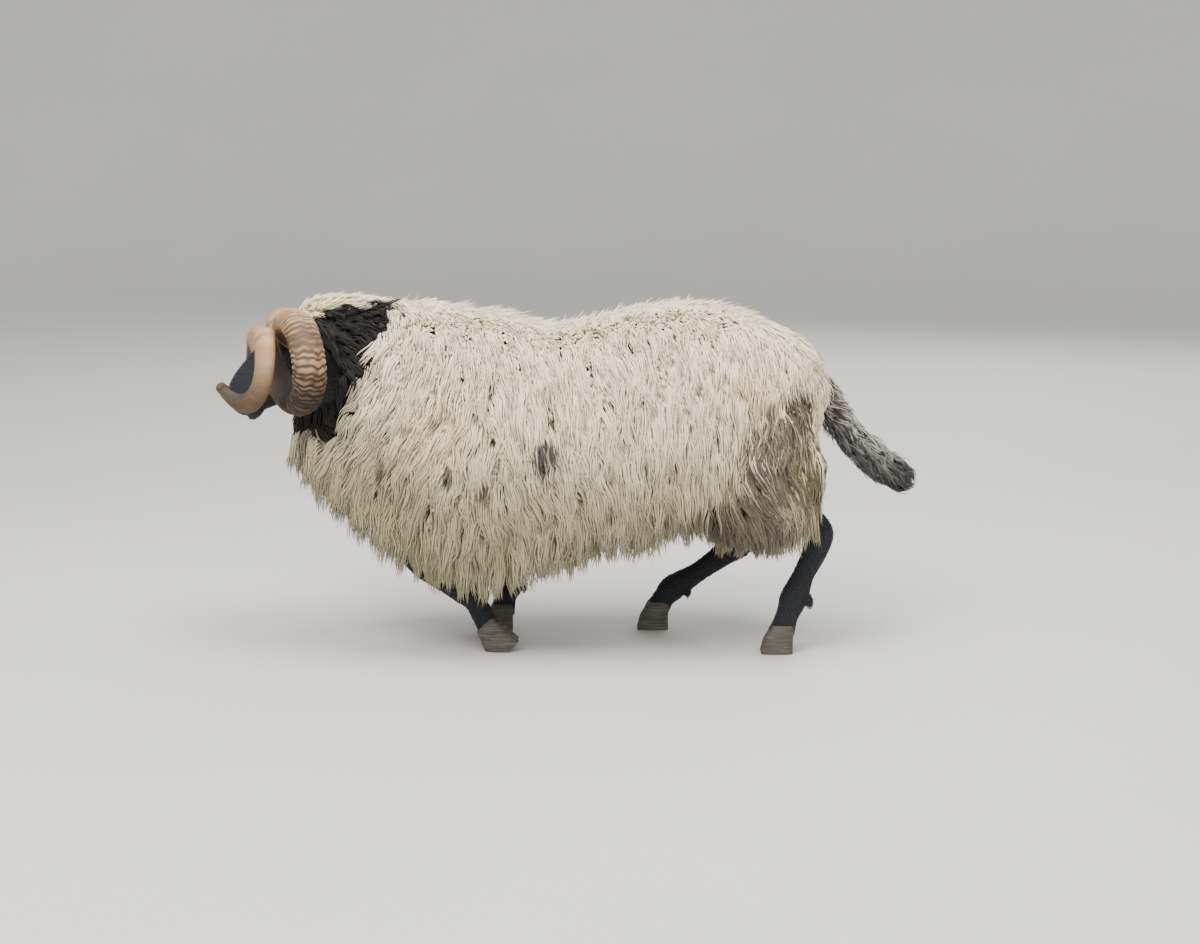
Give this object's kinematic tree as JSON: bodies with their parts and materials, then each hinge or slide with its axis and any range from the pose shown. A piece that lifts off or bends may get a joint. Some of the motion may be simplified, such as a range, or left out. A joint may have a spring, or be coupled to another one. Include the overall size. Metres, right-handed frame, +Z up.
{
  "type": "scottish blackface ram",
  "caption": "Life-size still model of a Scottish Blackface ram at a slow trot, with coiled horns, a long white fleece, black face and legs, and a dark tail held out behind.",
  "frame": {"origin": "on the floor under the middle of the ram's length and width", "axes": "+X points from nose to tail, +Y to the ram's right side, +Z up"},
  "size_m": [1.3934, 0.5131, 0.683],
  "materials": {
    "white_wool": "long matte wool",
    "black_hair": "short black hair and wool",
    "grey_wool": "matte mixed grey wool",
    "horn": "ridged horn, satin",
    "hoof": "dark worn hoof horn",
    "eye": "wet amber eye"
  },
  "bodies": {
    "root": {"head": "black_hair", "neck": "black_hair", "torso": "white_wool", "tail": "grey_wool", "ear_left": "black_hair", "ear_right": "black_hair", "eye_left": "eye", "eye_right": "eye", "horn_left": "horn", "horn_right": "horn", "fore_leg_left": "black_hair", "fore_leg_right": "black_hair", "hind_leg_left": "black_hair", "hind_leg_right": "black_hair", "fore_hoof_left_outer": "hoof", "fore_hoof_left_inner": "hoof", "fore_hoof_right_outer": "hoof", "fore_hoof_right_inner": "hoof", "hind_hoof_left_outer": "hoof", "hind_hoof_left_inner": "hoof", "hind_hoof_right_outer": "hoof", "hind_hoof_right_inner": "hoof"}
  },
  "joints": []
}
